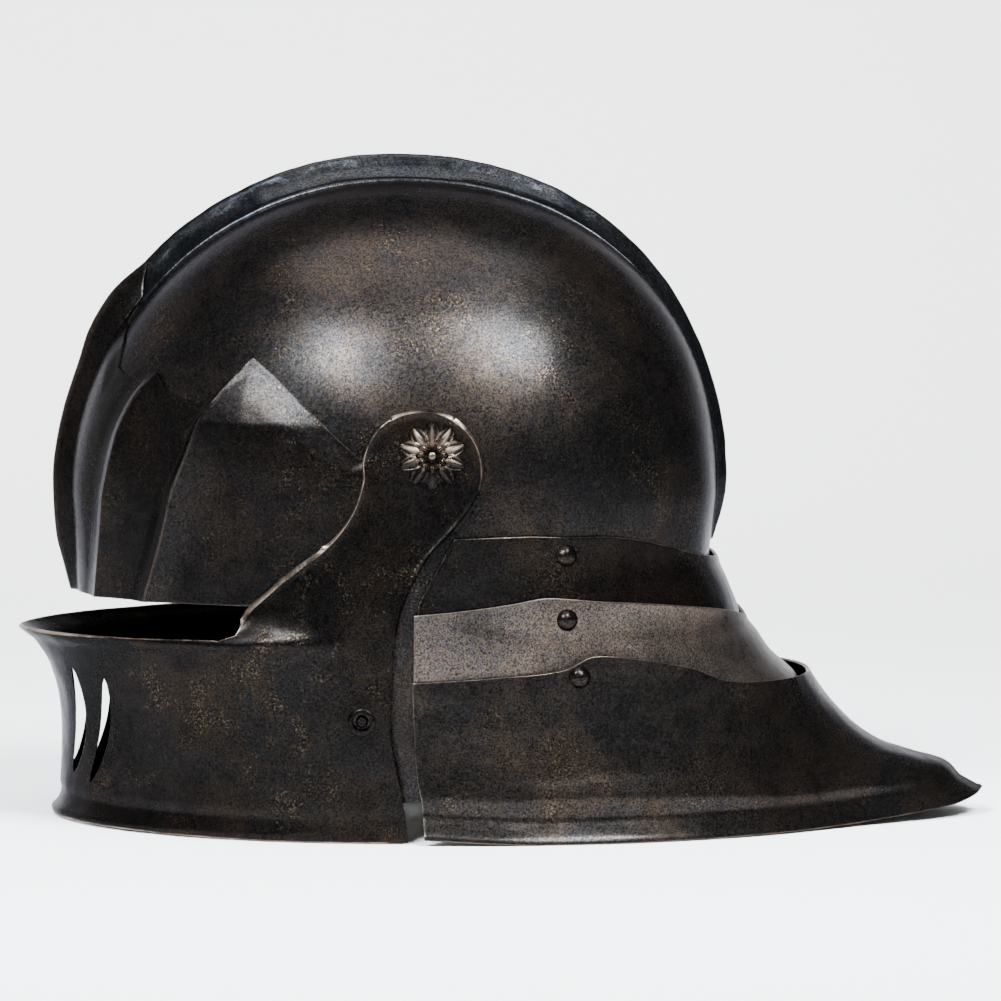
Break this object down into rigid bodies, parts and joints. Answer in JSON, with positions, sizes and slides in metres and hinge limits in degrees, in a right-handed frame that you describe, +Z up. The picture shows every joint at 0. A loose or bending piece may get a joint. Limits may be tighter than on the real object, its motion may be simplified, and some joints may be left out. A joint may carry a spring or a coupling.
{
  "type": "sallet helmet",
  "caption": "Visored sallet helmet in dark steel with a comb, fluted brow plate, hinged visor and a neck guard of overlapping plates ending in a pointed tail.",
  "frame": {"origin": "middle of the helmet's footprint, on the surface it stands on", "axes": "+X towards the tail, -X towards the face, +Y to the wearer's right, +Z up"},
  "size_m": [0.3676, 0.227, 0.2503],
  "materials": {
    "skull_steel": "dark patinated, satin",
    "comb_steel": "hammered blue-black, satin",
    "brow_steel": "dark patinated, satin",
    "visor_steel": "dark patinated, pitted",
    "lame_steel": "dark patinated, satin",
    "tail_steel": "dark patinated, pitted",
    "fitting_steel": "worn",
    "rivet_steel": "worn, domed",
    "liner_leather": "vegetable tanned",
    "liner_linen": "quilted linen",
    "strap_leather": "oiled",
    "buckle_brass": "aged"
  },
  "bodies": {
    "skull": {"skull": "skull_steel", "comb": "comb_steel", "brow_plate": "brow_steel", "pivot_pins": "fitting_steel", "rosettes": "fitting_steel", "pivot_spacers": "fitting_steel", "pivot_washers": "fitting_steel", "catch_spring": "fitting_steel", "catch_spring_rivet": "fitting_steel", "liner_band": "liner_leather", "liner_cap": "liner_linen", "liner_rivets": "fitting_steel", "strap_rivets": "fitting_steel", "strap_washers": "fitting_steel"},
    "visor": {"visor": "visor_steel"},
    "upper_lame": {"upper_lame": "lame_steel", "upper_rivets": "rivet_steel", "upper_washers": "fitting_steel"},
    "middle_lame": {"middle_lame": "lame_steel", "middle_rivets": "rivet_steel", "middle_washers": "fitting_steel"},
    "tail": {"tail_plate": "tail_steel", "tail_rivets": "rivet_steel", "tail_washers": "fitting_steel"},
    "catch": {"catch_stud": "fitting_steel"},
    "chin_strap": {"strap_left": "strap_leather", "strap_right": "strap_leather", "buckle_frame": "buckle_brass", "buckle_tongue": "buckle_brass", "strap_keeper": "strap_leather"}
  },
  "joints": [
    {"name": "visor_lift", "type": "hinge", "parent": "skull", "child": "visor", "pos_m": [-0.0247, 0, 0.1412], "axis": [0, 1, 0], "range_deg": [0, 60]},
    {"name": "upper_lame_turn", "type": "hinge", "parent": "skull", "child": "upper_lame", "pos_m": [0.0241, 0, 0.1041], "axis": [0, -1, 0], "range_deg": [-1, 3]},
    {"name": "middle_lame_turn", "type": "hinge", "parent": "upper_lame", "child": "middle_lame", "pos_m": [0.0243, 0, 0.0809], "axis": [0, -1, 0], "range_deg": [-1.5, 5]},
    {"name": "tail_turn", "type": "hinge", "parent": "middle_lame", "child": "tail", "pos_m": [0.0288, 0, 0.0604], "axis": [0, -1, 0], "range_deg": [-2, 7]},
    {"name": "catch_press", "type": "slide", "parent": "skull", "child": "catch", "axis": [0, 1, 0], "range_m": [0, 0.003], "stiffness_N_per_m": 400, "springref_m": -0.002, "deforming": ["catch_spring"]},
    {"name": "chin_strap_swing", "type": "hinge", "parent": "skull", "child": "chin_strap", "pos_m": [-0.054, 0, 0.036], "axis": [0, 1, 0], "range_deg": [-75, 75]}
  ]
}
